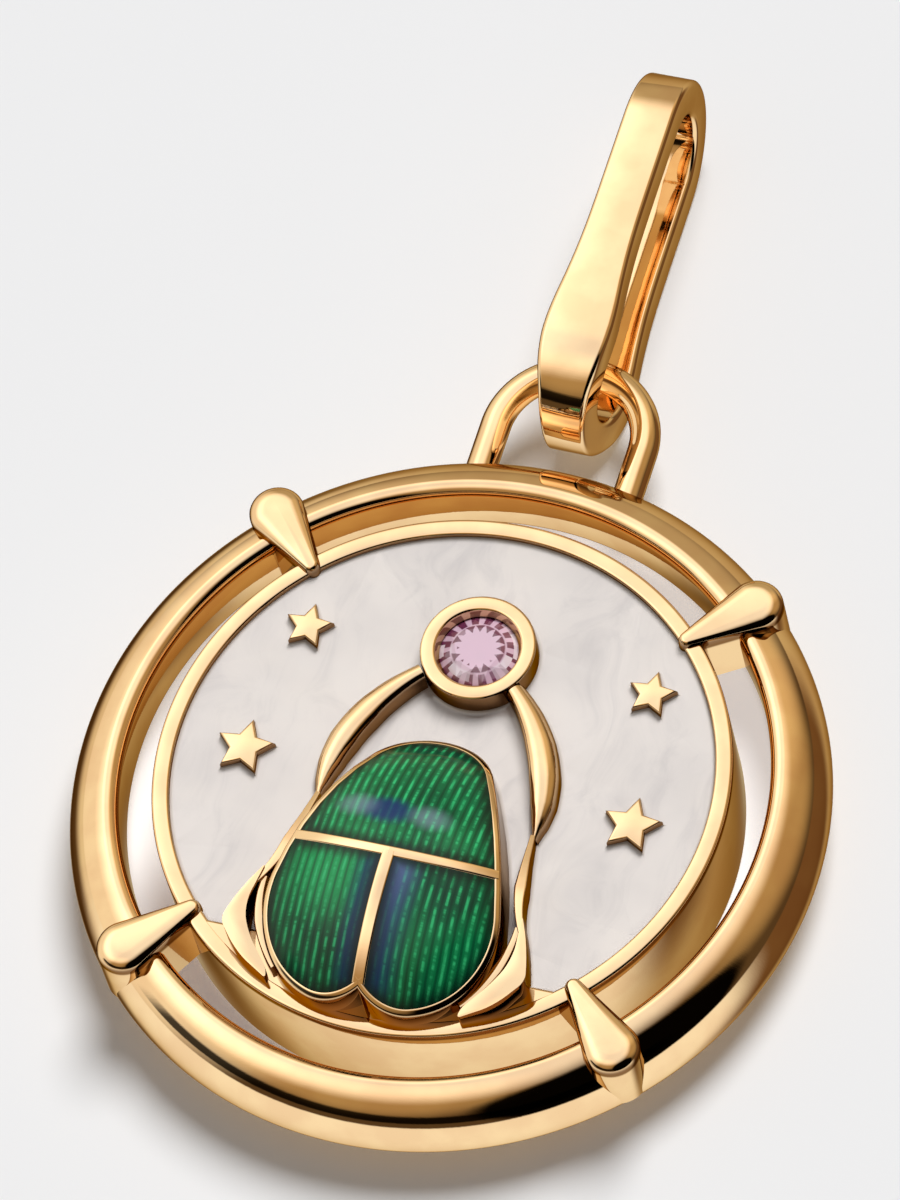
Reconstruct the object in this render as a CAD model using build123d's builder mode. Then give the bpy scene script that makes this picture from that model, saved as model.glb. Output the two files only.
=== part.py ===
from build123d import *
import math
import os

# Scarab medallion charm, in millimetres. It lies on its flat back: X across the face,
# Y towards the bail, Z out of the face, with the origin in the middle of the back.

# Outer ring
ring_width = 1.15        # radial width of the ring's bar
ring_height = 2.2        # of the crest, over the disc's back
ring_belly = 1.04        # of the ring's widest place, over the disc's back
ring_under = 0.85        # of the ring's flat underside, over the disc's back
ring_inner_edge = 0.26   # rounding between the upright inner wall and the crest
ring_corner = 0.15       # rounding along both edges of the underside
ring_gap = 0.72          # open gap between ring and disc

# Inner disc with its thin rim; its flat back stands below the ring's underside
disc_diameter = 11.8
rim_proud = 0.15         # the rim stands this much over the ring's crest
rim_width = 0.36
enamel_depth = 0.45      # of the recess, below the rim
enamel_drop = 0.17       # of the enamel's surface, below the rim
inlay_gap = 0.03         # between every inlay and its gold cell

# Claws that bridge the gap on the diagonals
claw_count = 4
claw_butt = 1.15         # width of the round outer end
claw_tip = 0.4           # width of the blunt inner end
claw_overhang = 0.05     # of the butt, past the ring's edge
claw_lap = 0.05          # of the tip, past the disc's rim
claw_proud = 0.3         # over the ring's crest
claw_web_drop = 1.2      # of the web's underside, below the ring's crest
claw_round = 0.12

# Beetle: a domed oval that stands on the disc
beetle_length = 6.2
beetle_width = 4.86
beetle_tail_margin = 0.3  # from the tail lobes to the disc's edge
dome_radius = 4.3
dome_crown = 1.7         # of the dome's crown, over the rim
dome_centre_share = 0.52  # of the crown, along the beetle from its head
cell_wall = 0.13         # gold outline round the enamel
bar_width = 0.26         # wall between pronotum and wing cases
bar_share = 0.485        # of the bar's ends, along the beetle from its head
bar_bulge = 0.28         # of the bar, towards the tail
seam_width = 0.3         # wall between the two wing cases
cell_depth = 0.4         # of the pockets, below the dome
cell_drop = 0.05         # of the green enamel, below the walls

# Half outline of the beetle from the head, as shares of half its width and of its length
OUTLINE = {
    "brow": (0.515, 0.121),
    "flank": (0.988, 0.629),
    "lobe": (0.453, 0.992),
    "notch": (0.0, 0.955),
}

# Legs, standing on the disc
foreleg_proud = 0.4      # of its top, over the rim
foreleg_width = 0.56
hind_leg_proud = 0.6
hind_leg_width = 0.36

# Right legs' centre lines, as shares of half the beetle's width and of its length from the head
FORELEG = {
    "shoulder": (0.76, 0.2),
    "elbow": (0.905, 0.075),
    "bend": (0.80, -0.09),
    "wrist": (0.40, -0.245),
}
HIND_LEG = {
    "shoulder": (0.935, 0.28),
    "hip": (1.13, 0.60),
    "knee": (1.22, 0.77),
    "foot": (0.90, 0.94),
}

# Ground under the beetle: the disc below a chord
ground_share = 0.77      # of the chord, along the beetle from its head

# Stars
star_proud = 0.22        # over the enamel
star_waist = 0.5         # inner radius as a share of the outer one
# Right stars: across and up, as shares of the disc's radius, and size from point to point
STARS = {"upper": (0.62, 0.455, 1.0), "lower": (0.695, -0.045, 1.2)}

# Bezel and gem
gem_diameter = 1.72
gem_table_share = 0.58
gem_crown = 0.24
gem_pavilion = 0.62
gem_facets = 16
bezel_wall = 0.33
bezel_proud = 0.4        # over the rim
bezel_clear = 0.97       # from the beetle's head to the bezel
gem_drop = 0.06          # of the table, below the bezel's top

# Eye: a wire arch soldered to the ring's edge
eye_wire = 0.64
eye_width = 3.8
eye_reach = 2.7          # of the arch, past the ring's edge
eye_root = 0.5           # of its legs, into the ring

# Bail: a closed band through the eye
bail_length = 8.7
bail_depth = 3.4         # across the loop
bail_band = 0.75         # thickness of the band
bail_end_width = 0.9     # at the end in the eye
bail_flare_width = 1.42  # just outside the eye
bail_waist_width = 1.08
bail_free_width = 1.05
bail_flare_share = 0.2   # of the flare and of the waist, along the bail from the eye
bail_waist_share = 0.5
bail_slack = 0.26        # between the eye's wire and the band under it
bail_round = 0.13

# Places worked out from the sizes
disc_radius = disc_diameter / 2
ring_inner = disc_radius + ring_gap
ring_outer = ring_inner + ring_width
rim_top = ring_height + rim_proud
recess_floor = rim_top - enamel_depth
enamel_top = rim_top - enamel_drop
field_radius = disc_radius - rim_width
tail_y = -(disc_radius - beetle_tail_margin)
head_y = tail_y + beetle_length
ground_y = head_y - ground_share * beetle_length
crown_z = rim_top + dome_crown
crown_y = head_y - dome_centre_share * beetle_length
bezel_radius = gem_diameter / 2 + bezel_wall
bezel_y = head_y + bezel_clear + bezel_radius
bezel_top = rim_top + bezel_proud
gem_table_z = bezel_top - gem_drop
gem_girdle_z = gem_table_z - gem_crown
eye_radius = eye_width / 2 - eye_wire / 2
eye_z = bail_band + bail_slack + eye_wire / 2
eye_y = ring_outer + eye_reach - eye_wire / 2
eye_sag = eye_radius - math.sqrt(eye_radius**2 - (bail_flare_width / 2) ** 2)
bail_start = eye_y - eye_sag - bail_depth / 2


def beetle_point(row):
    """Place a row of shares on the right half of the beetle."""
    return (row[0] * beetle_width / 2, head_y - row[1] * beetle_length)


def mirrored(point):
    """Mirror a point to the beetle's left side."""
    return (-point[0], point[1])


def beetle_plan(grow=0.0):
    """The beetle's outline, made larger or smaller all round."""
    brow, flank, lobe, notch = (beetle_point(row) for row in OUTLINE.values())
    with BuildSketch() as plan:
        with BuildLine():
            front = ThreePointArc(mirrored(brow), (0, head_y), brow)
            side = TangentArc(brow, flank, tangent=front % 1)
            tail = TangentArc(flank, lobe, tangent=side % 1)
            end = TangentArc(lobe, notch, tangent=tail % 1)
            mirror(Curve() + [side, tail, end], about=Plane.YZ)
        make_face()
        if grow:
            offset(amount=grow)
    return plan.sketch


def bar_plan(grow):
    """The disc whose edge is the middle of the bar, grown towards the tail or cut back."""
    half_chord = beetle_width / 2
    radius = (half_chord**2 + bar_bulge**2) / (2 * bar_bulge)
    middle_y = head_y - bar_share * beetle_length - bar_bulge
    with BuildSketch() as plan:
        with Locations((0, middle_y + radius)):
            Circle(radius + grow)
    return plan.sketch


def pronotum_plan(shrink=0.0):
    """The cell of the pronotum, made smaller all round."""
    with BuildSketch() as plan:
        add(beetle_plan(-cell_wall - shrink))
        add(bar_plan(-bar_width / 2 - shrink), mode=Mode.INTERSECT)
    return plan.sketch


def elytron_plan(side, shrink=0.0):
    """The cell of one wing case, made smaller all round; side is -1 left or 1 right."""
    edge = seam_width / 2 + shrink
    with BuildSketch() as plan:
        add(beetle_plan(-cell_wall - shrink))
        add(bar_plan(bar_width / 2 + shrink), mode=Mode.SUBTRACT)
        with Locations((side * edge, crown_y)):
            across = Align.MIN if side > 0 else Align.MAX
            Rectangle(beetle_width, 2 * beetle_length, align=(across, Align.CENTER), mode=Mode.INTERSECT)
    return plan.sketch


def foreleg_plan(side, grow=0.0):
    """A raised foreleg, from the shoulder round the elbow to the bezel."""
    shoulder, elbow, bend, wrist = (beetle_point(row) for row in FORELEG.values())
    with BuildSketch() as plan:
        with BuildLine() as centre:
            lower = ThreePointArc(shoulder, elbow, bend)
            TangentArc(bend, wrist, tangent=lower % 1)
        trace(centre.line, foreleg_width + 2 * grow)
        if side < 0:
            mirror(about=Plane.YZ, mode=Mode.REPLACE)
    return plan.sketch


def hind_leg_plan(side, grow=0.0):
    """The middle and hind legs as one ridge, from the shoulder round the knee to the foot."""
    shoulder, hip, knee, foot = (beetle_point(row) for row in HIND_LEG.values())
    with BuildSketch() as plan:
        with BuildLine() as centre:
            FilletPolyline(shoulder, hip, knee, foot, radius=hind_leg_width)
        trace(centre.line, hind_leg_width + 2 * grow)
        if side < 0:
            mirror(about=Plane.YZ, mode=Mode.REPLACE)
    return plan.sketch


def star_plan(place, side, grow=0.0):
    """A five-pointed star with one point up."""
    across, up, size = place
    outer = size / 2 / math.cos(math.radians(18))
    corners = []
    for step in range(10):
        turn = math.radians(90 + 36 * step)
        reach = outer * (1 if step % 2 == 0 else star_waist)
        corners.append((reach * math.cos(turn), reach * math.sin(turn)))
    with BuildSketch() as plan:
        with Locations((side * across * disc_radius, up * disc_radius)):
            Polygon(*corners, align=None)
        if grow:
            offset(amount=grow)
    return plan.sketch


def ground_plan(grow=0.0):
    """The disc's floor below the chord, made larger all round."""
    with BuildSketch() as plan:
        Circle(field_radius + grow)
        with Locations((0, ground_y + grow)):
            Rectangle(disc_diameter, disc_diameter, align=(Align.CENTER, Align.MAX), mode=Mode.INTERSECT)
    return plan.sketch


def claws_plan(grow=0.0):
    """The teardrop claws, which point to the centre from the diagonals."""
    butt_x = ring_outer + claw_overhang - claw_butt / 2
    tip_x = field_radius - claw_lap + claw_tip / 2
    with BuildSketch() as claw:
        with Locations((butt_x, 0)):
            Circle(claw_butt / 2 + grow)
        with Locations((tip_x, 0)):
            Circle(claw_tip / 2 + grow)
        make_hull()
    with BuildSketch() as plan:
        with PolarLocations(0, claw_count, start_angle=180 / claw_count):
            add(claw.sketch)
    return plan.sketch


def disc_plan(radius):
    """A round plan about the medallion's axis."""
    with BuildSketch() as plan:
        Circle(radius)
    return plan.sketch


def bezel_plan(radius):
    """A round plan about the bezel's axis."""
    with BuildSketch() as plan:
        with Locations((0, bezel_y)):
            Circle(radius)
    return plan.sketch


def raise_plan(plan, bottom, top, mode=Mode.ADD):
    """Raise a plan into a wall of the piece being made."""
    extrude(Plane.XY.offset(bottom) * plan, amount=top - bottom, dir=(0, 0, 1), mode=mode)


def dome(height_change, mode):
    """The ball whose top is the beetle's back, sunk by a small height."""
    with Locations((0, crown_y, crown_z - dome_radius)):
        Sphere(dome_radius + height_change, mode=mode)


def dome_shell(plan, over, under):
    """A slab inside one cell's plan, between two skins that lie over and under the dome."""
    with BuildPart() as slab:
        raise_plan(plan, recess_floor, crown_z + cell_depth)
        dome(over, Mode.INTERSECT)
        dome(under, Mode.SUBTRACT)
    return slab.part


def cell_enamel(plan, name):
    """The green enamel of one cell, a little lower than the walls."""
    enamel = dome_shell(plan, -cell_drop, inlay_gap - cell_depth)
    enamel.label = name
    return enamel


# The beetle's body: an oval post under a dome, with three pockets between its walls
with BuildPart() as body:
    raise_plan(beetle_plan(), recess_floor - enamel_depth / 2, crown_z)
    dome(0, Mode.INTERSECT)
    for cell in (pronotum_plan(), elytron_plan(-1), elytron_plan(1)):
        add(dome_shell(cell, cell_depth, -cell_depth), mode=Mode.SUBTRACT)

# The four claws
with BuildPart() as claws:
    raise_plan(claws_plan(), ring_height - claw_web_drop, ring_height + claw_proud)
    fillet(claws.faces().filter_by(Axis.Z).group_by(Axis.Z)[-1].edges(), radius=claw_round)

# The eye, a half ring of wire with straight legs
with BuildPart() as eye:
    with BuildLine(Plane.XY.offset(eye_z)):
        arch_y = eye_y - eye_radius
        root_y = math.sqrt(ring_outer**2 - eye_radius**2) - eye_root
        Line((-eye_radius, root_y), (-eye_radius, arch_y))
        ThreePointArc((-eye_radius, arch_y), (0, eye_y), (eye_radius, arch_y))
        Line((eye_radius, arch_y), (eye_radius, root_y))
    with BuildSketch(Plane(origin=(-eye_radius, root_y, eye_z), z_dir=(0, 1, 0))):
        Circle(eye_wire / 2)
    sweep()

# The medallion's gold, one casting
with BuildPart() as medallion:
    # Outer ring: upright inner wall, rounded crest and outer side, flat underside
    with BuildSketch(Plane.XZ) as section:
        with BuildLine():
            crest_x = ring_inner + ring_inner_edge
            Line((ring_inner, ring_under), (ring_inner, ring_height - ring_inner_edge))
            RadiusArc((ring_inner, ring_height - ring_inner_edge), (crest_x, ring_height),
                      ring_inner_edge)
            TangentArc((ring_outer, ring_belly), (crest_x, ring_height), tangent=(0, 1))
            Line((ring_outer, ring_belly), (ring_outer, ring_under))
            Line((ring_outer, ring_under), (ring_inner, ring_under))
        make_face()
        fillet(section.vertices().group_by(Axis.Y)[0], radius=ring_corner)
    revolve(axis=Axis.Z)

    # Disc with its rim and its recess for the white enamel
    raise_plan(disc_plan(disc_radius), 0, rim_top)
    raise_plan(disc_plan(field_radius), recess_floor, rim_top, mode=Mode.SUBTRACT)
    raise_plan(ground_plan(), recess_floor, rim_top)

    # Everything that stands in the recess
    for side in (-1, 1):
        raise_plan(foreleg_plan(side), recess_floor, rim_top + foreleg_proud)
        raise_plan(hind_leg_plan(side), recess_floor, rim_top + hind_leg_proud)
        for place in STARS.values():
            raise_plan(star_plan(place, side), recess_floor, enamel_top + star_proud)
    raise_plan(bezel_plan(bezel_radius), recess_floor, bezel_top)
    seat_floor = gem_girdle_z - gem_pavilion - inlay_gap
    raise_plan(bezel_plan(gem_diameter / 2 + inlay_gap), seat_floor, bezel_top, mode=Mode.SUBTRACT)
    raise_plan(beetle_plan(), recess_floor, crown_z, mode=Mode.SUBTRACT)
    add(body.part)
    add(claws.part)
    add(eye.part)
medallion.part.label = "medallion"

# White enamel round the beetle, its legs, the bezel and the stars
with BuildPart() as field_enamel:
    raise_plan(disc_plan(field_radius - inlay_gap), recess_floor + inlay_gap, enamel_top)
    cuts = [ground_plan(inlay_gap), beetle_plan(inlay_gap), bezel_plan(bezel_radius + inlay_gap)]
    cuts.append(claws_plan(inlay_gap))
    for side in (-1, 1):
        cuts += [foreleg_plan(side, inlay_gap), hind_leg_plan(side, inlay_gap)]
        cuts += [star_plan(place, side, inlay_gap) for place in STARS.values()]
    for cut in cuts:
        raise_plan(cut, recess_floor, rim_top, mode=Mode.SUBTRACT)
field_enamel.part.label = "field_enamel"

# Green enamel of the three cells
pronotum_enamel = cell_enamel(pronotum_plan(inlay_gap), "pronotum_enamel")
left_elytron_enamel = cell_enamel(elytron_plan(-1, inlay_gap), "left_elytron_enamel")
right_elytron_enamel = cell_enamel(elytron_plan(1, inlay_gap), "right_elytron_enamel")

# Gem: a table, crown facets, and pavilion facets that meet in a small culet
with BuildPart() as gem:
    gem_radius = gem_diameter / 2
    culet_radius = gem_radius / gem_facets
    for rise, far_radius in ((gem_crown, gem_radius * gem_table_share), (-gem_pavilion, culet_radius)):
        with BuildSketch(Plane((0, bezel_y, gem_girdle_z))):
            RegularPolygon(gem_radius, gem_facets)
        with BuildSketch(Plane((0, bezel_y, gem_girdle_z + rise))):
            RegularPolygon(far_radius, gem_facets)
        loft(ruled=True)
gem.part.label = "gem"

# Bail: a closed band round a long slot, which flares beside the eye and narrows inside it
with BuildPart() as bail:
    with BuildSketch(Plane.YZ):
        with Locations((bail_start + bail_length / 2, bail_depth / 2)):
            SlotOverall(bail_length, bail_depth)
            SlotOverall(bail_length - 2 * bail_band, bail_depth - 2 * bail_band, mode=Mode.SUBTRACT)
    extrude(amount=bail_flare_width, both=True)
    with BuildSketch(Plane.XY):
        with BuildLine():
            eye_corner = (bail_end_width / 2, bail_start)
            flare = (bail_flare_width / 2, bail_start + bail_flare_share * bail_length)
            waist = (bail_waist_width / 2, bail_start + bail_waist_share * bail_length)
            free_corner = (bail_free_width / 2, bail_start + bail_length)
            Line((0, bail_start), eye_corner)
            Spline(eye_corner, flare, waist, free_corner)
            Line(free_corner, (0, bail_start + bail_length))
            mirror(about=Plane.YZ)
        make_face()
    extrude(amount=bail_depth, mode=Mode.INTERSECT)
    fillet(bail.edges(), radius=bail_round)
bail.part.label = "bail"

os.makedirs("parts", exist_ok=True)
export_step(medallion.part, "parts/medallion.step")
export_step(field_enamel.part, "parts/field_enamel.step")
export_step(pronotum_enamel, "parts/pronotum_enamel.step")
export_step(left_elytron_enamel, "parts/left_elytron_enamel.step")
export_step(right_elytron_enamel, "parts/right_elytron_enamel.step")
export_step(gem.part, "parts/gem.step")
export_step(bail.part, "parts/bail.step")
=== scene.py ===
"""Scarab medallion charm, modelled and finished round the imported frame.

Shapes are worked out in millimetres and written to the meshes in metres. X runs across the
face, Y towards the bail and Z out of the face.
"""
import math
from types import SimpleNamespace

import bmesh
import bpy
from mathutils import Matrix, Vector
from mathutils.kdtree import KDTree


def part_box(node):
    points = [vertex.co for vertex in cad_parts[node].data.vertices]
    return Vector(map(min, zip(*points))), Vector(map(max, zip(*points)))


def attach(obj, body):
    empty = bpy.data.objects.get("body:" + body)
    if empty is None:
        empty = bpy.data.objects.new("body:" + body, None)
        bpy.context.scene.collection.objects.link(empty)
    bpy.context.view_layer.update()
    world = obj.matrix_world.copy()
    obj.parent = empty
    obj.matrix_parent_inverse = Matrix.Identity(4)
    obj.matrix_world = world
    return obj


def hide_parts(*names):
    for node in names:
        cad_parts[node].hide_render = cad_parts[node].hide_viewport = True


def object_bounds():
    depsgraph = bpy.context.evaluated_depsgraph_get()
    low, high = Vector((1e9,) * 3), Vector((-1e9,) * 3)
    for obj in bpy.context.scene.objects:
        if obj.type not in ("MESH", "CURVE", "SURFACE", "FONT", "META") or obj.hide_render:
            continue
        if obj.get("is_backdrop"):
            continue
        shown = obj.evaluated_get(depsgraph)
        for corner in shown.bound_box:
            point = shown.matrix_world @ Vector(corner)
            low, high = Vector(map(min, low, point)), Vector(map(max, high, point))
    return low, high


bl_info = {
    "name": "Scarab Medallion Charm",
    "version": (1, 0, 0),
    "blender": (4, 5, 0),
    "location": "3D View > Sidebar > Charm",
    "description": "Builds a gold and enamel scarab charm round its packed frame",
    "category": "Object",
}

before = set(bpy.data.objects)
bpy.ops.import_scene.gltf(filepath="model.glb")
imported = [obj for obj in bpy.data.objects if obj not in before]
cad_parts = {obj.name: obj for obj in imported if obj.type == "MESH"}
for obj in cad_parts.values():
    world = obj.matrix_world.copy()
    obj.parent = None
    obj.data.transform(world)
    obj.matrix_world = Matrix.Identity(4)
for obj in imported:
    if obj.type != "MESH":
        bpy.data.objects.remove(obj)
CAD_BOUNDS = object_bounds()

MM = 0.001
MERGE = 1e-4                   # vertices closer than this, in millimetres, are one
SUNK = 0.05                    # how far gold that stands on the disc goes into it
WALLS = "wall_distance"        # attribute of an enamel's surface, in millimetres
UP = Vector((0, 0, 1))
ROUND_STEPS = 5                # of a rounded edge
TURN_STEP = math.radians(1)    # of the rings
BEND_STEP = math.radians(3)    # of walls and wires

# Half outline of the beetle from its head: shares of half its width and of its length
OUTLINE = {
    "brow": (0.515, 0.121),
    "flank": (0.988, 0.629),
    "lobe": (0.453, 0.992),
    "notch": (0.0, 0.955),
}
# Right foreleg, in the same shares, and its half width in millimetres at shares of its arc
FORELEG = {"shoulder": (0.947, 0.266), "elbow": (0.885, 0.06), "wrist": (0.412, -0.234)}
FORELEG_WIDTHS = (
    (0, 0.07), (0.1, 0.17), (0.22, 0.26), (0.38, 0.31), (0.6, 0.31), (0.8, 0.26), (1, 0.2),
)
# Right middle leg and the spur between the hind leg and the body: the heading at the start in
# degrees, then places in the same shares with half widths and heights in millimetres
LOW_LEGS = {
    "middle": (-84, (
        (0.935, 0.258, 0.05, 2.5), (1.005, 0.468, 0.12, 2.8), (1.165, 0.645, 0.06, 2.86))),
    "spur": (-88, (
        (1.095, 0.613, 0.06, 2.8), (1.029, 0.766, 0.1, 2.72), (0.802, 0.903, 0.07, 2.56))),
}
# Corners of the right hind leg: the same shares and a rounding in millimetres
HIND_LEG = (
    (1.11, 0.572, 0.12), (1.262, 0.702, 0.5), (1.317, 0.806, 0.16), (1.119, 0.895, 0.3),
    (0.823, 0.956, 0.09), (0.844, 0.923, 0.09), (1.07, 0.826, 0.3), (1.16, 0.734, 0.3),
)
# Its heights in millimetres at shares of the beetle's length
HIND_LEG_TOPS = ((0.572, 2.88), (0.806, 2.95), (0.956, 2.64))
# Right stars: across and up as shares of the disc's radius, and size from point to point
STARS = {"upper": (0.62, 0.455, 1.0), "lower": (0.695, -0.045, 1.2)}


def box(node):
    """A node's lowest and highest corners in millimetres."""
    low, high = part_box(node)
    return low / MM, high / MM


def length(name, millimetres, description):
    """A size that a user may change."""
    return bpy.props.FloatProperty(
        name=name, description=description, default=millimetres * MM, unit="LENGTH", precision=5
    )


def colour(name, default, description):
    """A colour that a user may change."""
    return bpy.props.FloatVectorProperty(
        name=name, description=description, default=default, size=3, min=0, max=1, subtype="COLOR"
    )


MEDALLION_LOW, MEDALLION_HIGH = box("medallion")
FIELD_TOP = box("field_enamel")[1].z
GEM_LOW, GEM_HIGH = box("gem")
GEM_Y = (GEM_LOW.y + GEM_HIGH.y) / 2
CROWN = 0.24   # height of the stone's crown over its girdle
BAIL_LOW, BAIL_HIGH = box("bail")


class CharmSizes(bpy.types.PropertyGroup):
    """Sizes of the gold, the enamel and the stone."""

    ring_radius: length("Ring radius", MEDALLION_HIGH.x, "Outer radius of the open ring")
    ring_width: length("Ring width", 1.15, "Radial width of the ring's bar")
    ring_height: length("Ring height", 2.2, "Height of the ring's crest")
    ring_belly: length("Ring belly", 1.04, "Height of the ring's widest place")
    ring_under: length("Ring underside", 0.85, "Height of the ring's flat underside")
    ring_edge: length("Ring edge", 0.26, "Rounding of the ring's upper inner edge")
    ring_corner: length("Ring corner", 0.15, "Rounding of the underside's edges")
    disc_radius: length("Disc radius", 5.9, "Outer radius of the inner disc")
    rim_top: length("Rim top", 2.35, "Height of the disc's rim")
    rim_width: length("Rim width", 0.36, "Width of the disc's rim")
    recess: length("Recess", 0.45, "Depth of the disc's recess under its rim")
    field_top: length("Field top", FIELD_TOP, "Height of the white enamel")
    meniscus: length("Meniscus", 0.05, "How far enamel climbs its walls")
    claw_butt: length("Claw butt", 1.15, "Width of a claw's round outer end")
    claw_tip: length("Claw tip", 0.4, "Width of a claw's inner end")
    claw_top: length("Claw top", 2.5, "Height of the claws")
    claw_bottom: length("Claw bottom", 1.0, "Height of the claws' underside")
    beetle_length: length("Beetle length", 6.2, "From the head to the tail lobes")
    beetle_width: length("Beetle width", 4.86, "Across both wing cases")
    tail_margin: length("Tail margin", 0.3, "From the tail lobes to the disc's edge")
    crown_top: length("Crown top", MEDALLION_HIGH.z, "Height of the beetle's back")
    dome_radius: length("Dome radius", 4.3, "Radius of the beetle's back")
    cell_wall: length("Cell wall", 0.13, "Gold outline round the green enamel")
    bar_width: length("Bar width", 0.22, "Wall between the pronotum and the wing cases")
    bar_bulge: length("Bar bulge", 0.28, "Bow of the bar towards the tail")
    seam_width: length("Seam width", 0.27, "Wall between the wing cases")
    cell_drop: length("Cell drop", 0.05, "Green enamel under the walls round it")
    foreleg_top: length("Foreleg top", 2.75, "Height of the forelegs")
    hind_leg_top: length("Hind leg top", 2.95, "Height of the hind legs")
    star_top: length("Star top", 2.4, "Height of the stars")
    gem_radius: length("Gem radius", (GEM_HIGH.x - GEM_LOW.x) / 2, "Girdle radius of the stone")
    bezel_wall: length("Bezel wall", 0.33, "Width of the stone's setting")
    bezel_top: length("Bezel top", 2.75, "Height of the stone's setting")
    eye_wire: length("Eye wire", 0.64, "Thickness of the eye's wire")
    eye_width: length("Eye width", 3.8, "Outer width of the eye")
    eye_height: length("Eye height", 1.33, "Height of the eye's wire over the back")
    bail_band: length("Bail band", 0.75, "Thickness of the bail's band")
    bail_end: length("Bail end", 0.9, "Width of the bail inside the eye")
    bail_waist: length("Bail waist", 1.08, "Width of the bail at its waist")
    bail_free: length("Bail free end", 1.05, "Width of the bail's free end")
    bail_round: length("Bail rounding", 0.13, "Rounding of the bail's edges")


class CharmColours(bpy.types.PropertyGroup):
    """Colours of the gold, the enamel, the stone and the studio."""

    gold: colour("Gold", (1.0, 0.722, 0.445), "Polished gold")
    pearl: colour("Pearl", (0.74, 0.69, 0.66), "White enamel")
    pearl_shade: colour("Pearl shade", (0.56, 0.525, 0.52), "Greyer wisps in the white enamel")
    emerald: colour("Emerald", (0.003, 0.16, 0.05), "Green enamel")
    emerald_light: colour("Emerald light", (0.03, 0.46, 0.16), "Bright cuts under the green enamel")
    navy: colour("Navy", (0.006, 0.025, 0.12), "Blue cast beside the seam")
    lilac: colour("Lilac", (0.12, 0.16, 0.36), "Paler blue cast beside the bar")
    stone: colour("Stone", (0.88, 0.60, 0.76), "Pink stone")
    floor: colour("Floor", (0.80, 0.80, 0.805), "Studio floor")


def charm_sizes(context):
    """All sizes in millimetres, with the places that follow from them."""
    group = context.scene.charm_sizes
    names = CharmSizes.__annotations__
    s = SimpleNamespace(**{name: getattr(group, name) / MM for name in names})
    s.ring_inner = s.ring_radius - s.ring_width
    s.floor_top = s.rim_top - s.recess
    s.field_radius = s.disc_radius - s.rim_width
    s.head_y = s.tail_margin - s.disc_radius + s.beetle_length
    s.crown_y = s.head_y - 0.52 * s.beetle_length
    s.bar_y = s.head_y - 0.485 * s.beetle_length
    s.ground_y = s.head_y - 0.77 * s.beetle_length
    s.bezel_radius = s.gem_radius + s.bezel_wall
    s.eye_radius = (s.eye_width - s.eye_wire) / 2
    s.eye_y = MEDALLION_HIGH.y - s.eye_wire / 2
    return s


def on_beetle(s, row):
    """Places a row of shares on the right half of the beetle."""
    return Vector((row[0] * s.beetle_width / 2, s.head_y - row[1] * s.beetle_length, 0))


def dome(s, place):
    """Height of the beetle's back over a place."""
    across = (Vector((place.x, place.y)) - Vector((0, s.crown_y))).length
    return s.crown_top - s.dome_radius + math.sqrt(max(s.dome_radius**2 - across**2, 0))


# Modelling helpers

def verts_of(geom):
    """The vertices of what an operator gives back."""
    return [g for g in geom if isinstance(g, bmesh.types.BMVert)]


def all_of(mesh):
    """Everything in a mesh."""
    return mesh.verts[:] + mesh.edges[:] + mesh.faces[:]


def merge(mesh, distance=MERGE):
    """Makes one of vertices that lie together."""
    bmesh.ops.remove_doubles(mesh, verts=mesh.verts, dist=distance)


def mirror(mesh, distance=0.0):
    """Adds the mirror image across the middle of the charm."""
    bmesh.ops.mirror(mesh, geom=all_of(mesh), axis="X", merge_dist=distance)


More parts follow.
